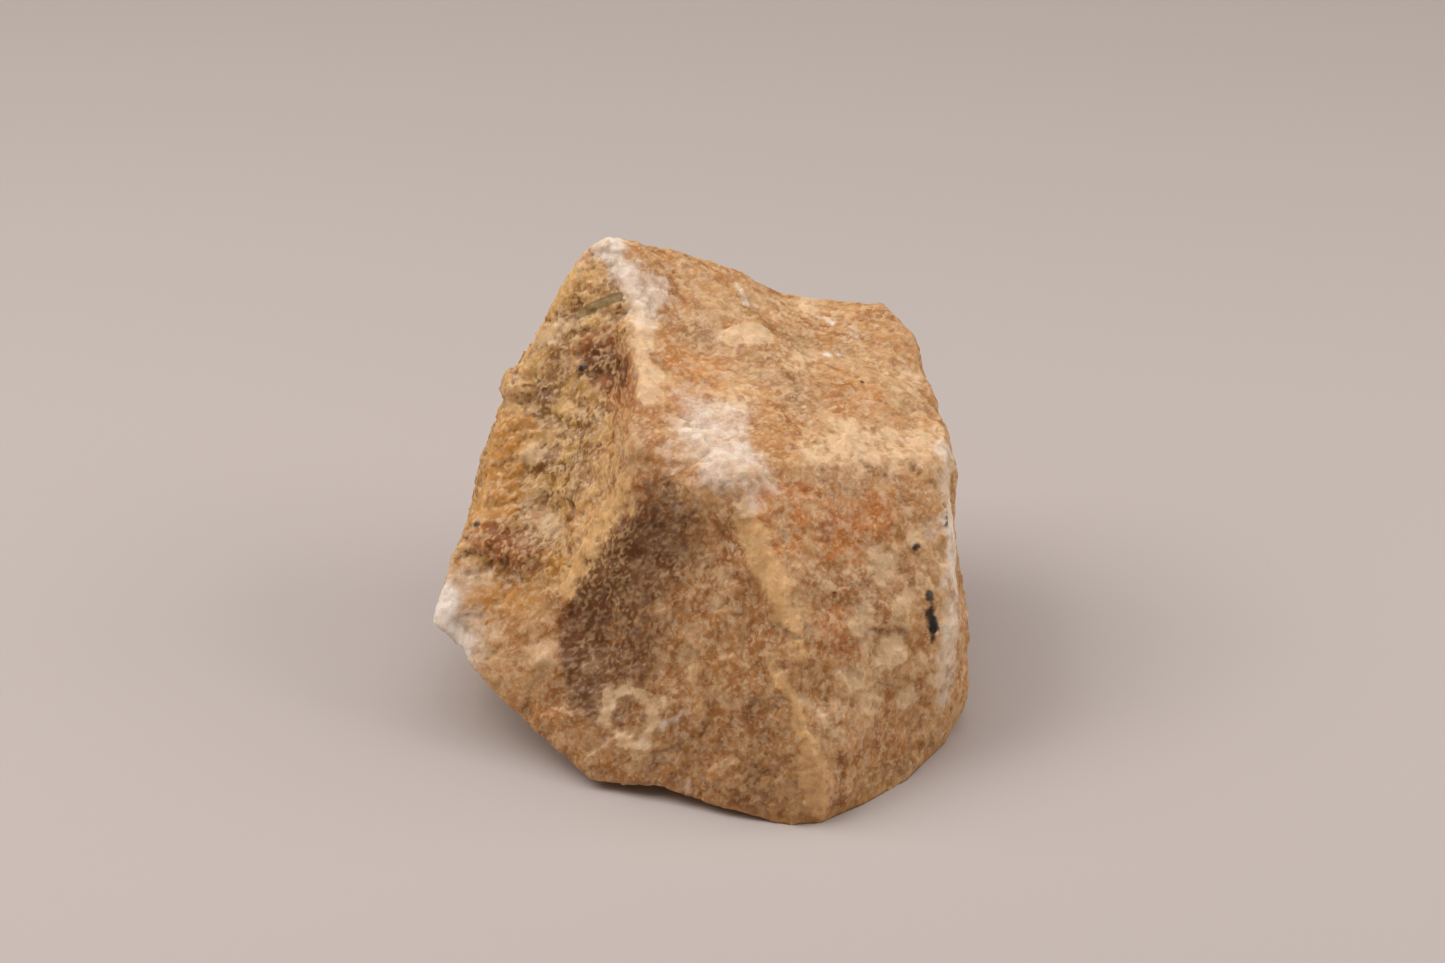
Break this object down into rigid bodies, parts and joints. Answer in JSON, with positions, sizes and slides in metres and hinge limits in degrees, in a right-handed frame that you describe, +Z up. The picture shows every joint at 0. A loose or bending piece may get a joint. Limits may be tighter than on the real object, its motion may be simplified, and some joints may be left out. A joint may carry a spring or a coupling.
{
  "type": "calcite specimen",
  "caption": "Hand-sized rough lump of honey calcite with broken faces, a worn ridge and a flat break to rest on, for display or as a paperweight.",
  "frame": {"origin": "middle of the bounding box, on the flat break that the stone rests on", "axes": "+Z up from the resting face, +X along the stone's width, from its overhanging nose to its narrow right side, and +Y from the front ridge to the back"},
  "size_m": [0.064, 0.0584, 0.0525],
  "materials": {
    "calcite": "satin"
  },
  "bodies": {
    "root": {"calcite_stone": "calcite"}
  },
  "joints": []
}
